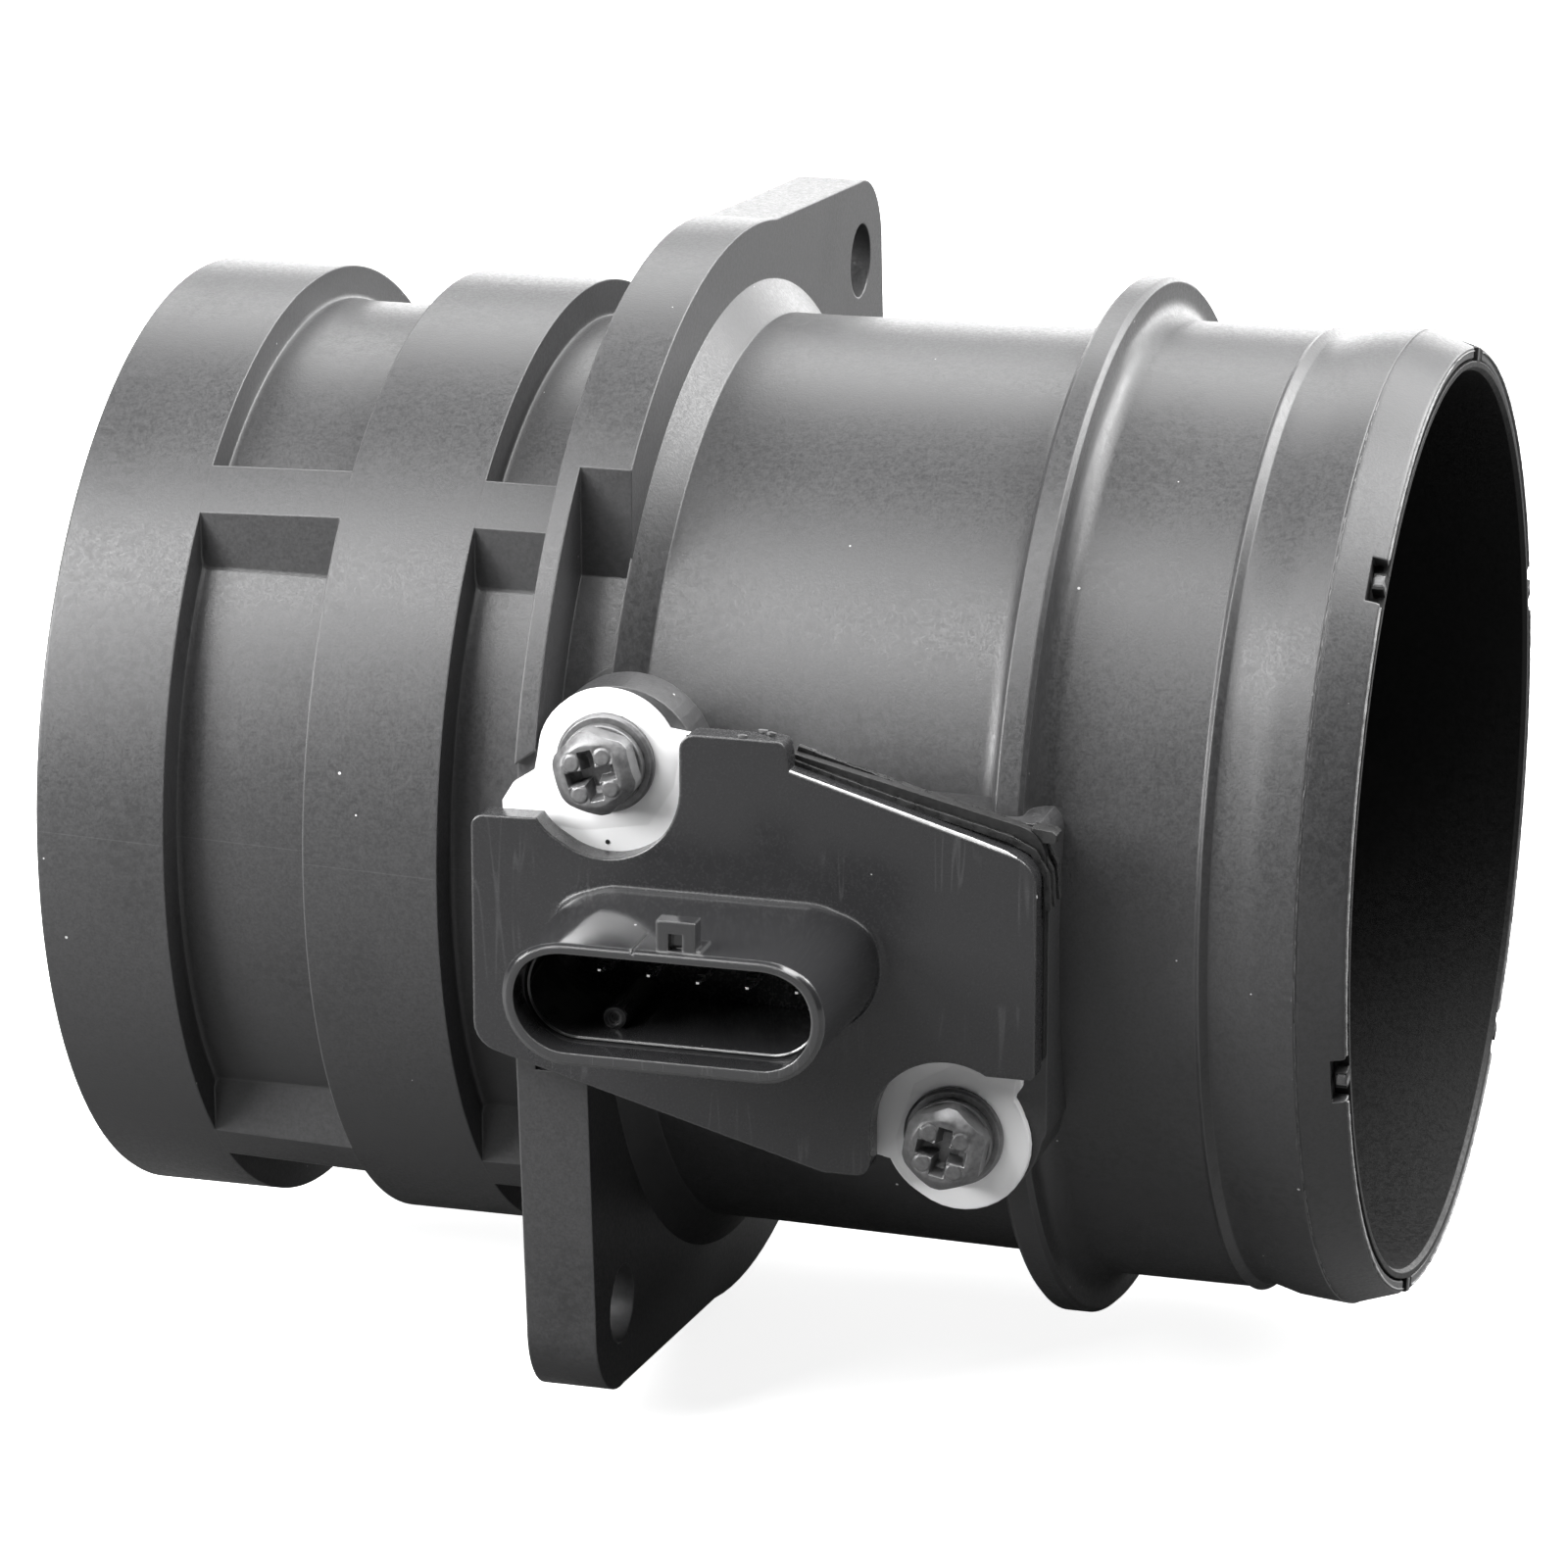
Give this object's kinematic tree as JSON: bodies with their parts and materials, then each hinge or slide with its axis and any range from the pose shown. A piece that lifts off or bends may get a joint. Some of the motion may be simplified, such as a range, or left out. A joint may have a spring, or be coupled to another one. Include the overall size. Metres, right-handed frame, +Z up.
{
  "type": "mass airflow sensor",
  "caption": "Round plastic air duct with a two-ear flange, hose spigot and screwed-on sensor module with an oval connector and a flow probe inside.",
  "frame": {"origin": "on the duct's axis, in the plane of the flange's seating face, at the centre of the two fixing holes", "axes": "+X along the duct towards the hose spigot, +Z up, the sensor module and its connector face -Y"},
  "size_m": [0.1167, 0.1159, 0.0988],
  "materials": {
    "housing_plastic": "fine-grained dark grey moulded plastic",
    "insert_plastic": "black moulded plastic",
    "frame_plastic": "black moulded plastic",
    "cover_plastic": "satin black moulded plastic",
    "probe_plastic": "black moulded plastic",
    "chip_plastic": "black moulded plastic",
    "seal_rubber": "smooth black rubber",
    "plate_aluminium": "bright rolled sheet",
    "screen_steel": "bright wire",
    "terminal_tin": "tin plated",
    "fastener_steel": "dark zinc plated",
    "brass": "turned",
    "board_ceramic": "green circuit board",
    "element_ceramic": "white ceramic",
    "bead_glass": "glossy coated bead"
  },
  "bodies": {
    "root": {"tube_housing": "housing_plastic", "threaded_inserts": "brass", "flow_grid": "insert_plastic", "wire_screen": "screen_steel", "metal_plate": "plate_aluminium", "seal_frame": "frame_plastic", "connector_cover": "cover_plastic", "probe_housing": "probe_plastic", "probe_lid": "probe_plastic", "seal_ring": "seal_rubber", "circuit_board": "board_ceramic", "board_chips": "chip_plastic", "sensing_element": "element_ceramic", "air_temperature_bead": "bead_glass", "terminal_1": "terminal_tin", "terminal_2": "terminal_tin", "terminal_3": "terminal_tin", "terminal_4": "terminal_tin", "terminal_5": "terminal_tin", "flat_washers": "fastener_steel", "spring_washers": "fastener_steel", "sensor_screws": "fastener_steel"}
  },
  "joints": []
}
